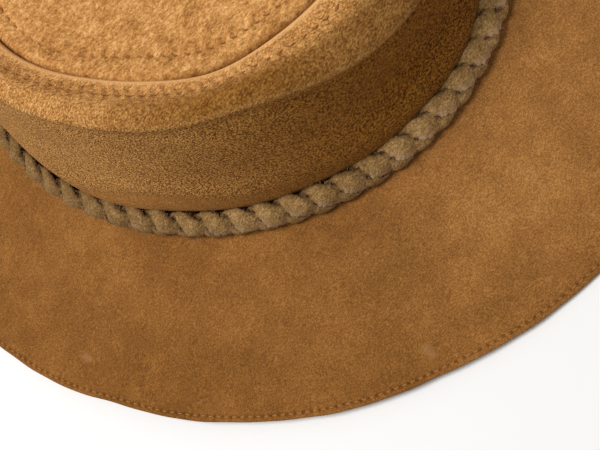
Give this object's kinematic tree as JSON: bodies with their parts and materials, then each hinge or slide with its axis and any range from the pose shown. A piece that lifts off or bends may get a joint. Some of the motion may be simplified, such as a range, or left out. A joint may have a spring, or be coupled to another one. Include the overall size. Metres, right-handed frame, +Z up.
{
  "type": "floppy hat",
  "caption": "Soft suede hat with a wide brim, a rolled crown shoulder round a sunken tip, and a plaited lace band.",
  "frame": {"origin": "on the surface that the brim lies on, below the middle of the brim's outline", "axes": "+Z up through the crown; -Y is the front, where the brim is widest and the shoulder runs down; X is across the hat"},
  "size_m": [0.3216, 0.3536, 0.085],
  "materials": {
    "crown_suede": "napped suede, golden tan, coarse nap",
    "brim_suede": "napped suede, orange tan, short fine nap",
    "lace_suede": "split suede lace, grey brown, frayed edges"
  },
  "bodies": {
    "root": {"crown_tip": "crown_suede", "crown_side": "crown_suede", "brim": "brim_suede", "band_strand_1": "lace_suede", "band_strand_2": "lace_suede", "band_strand_3": "lace_suede"}
  },
  "joints": []
}
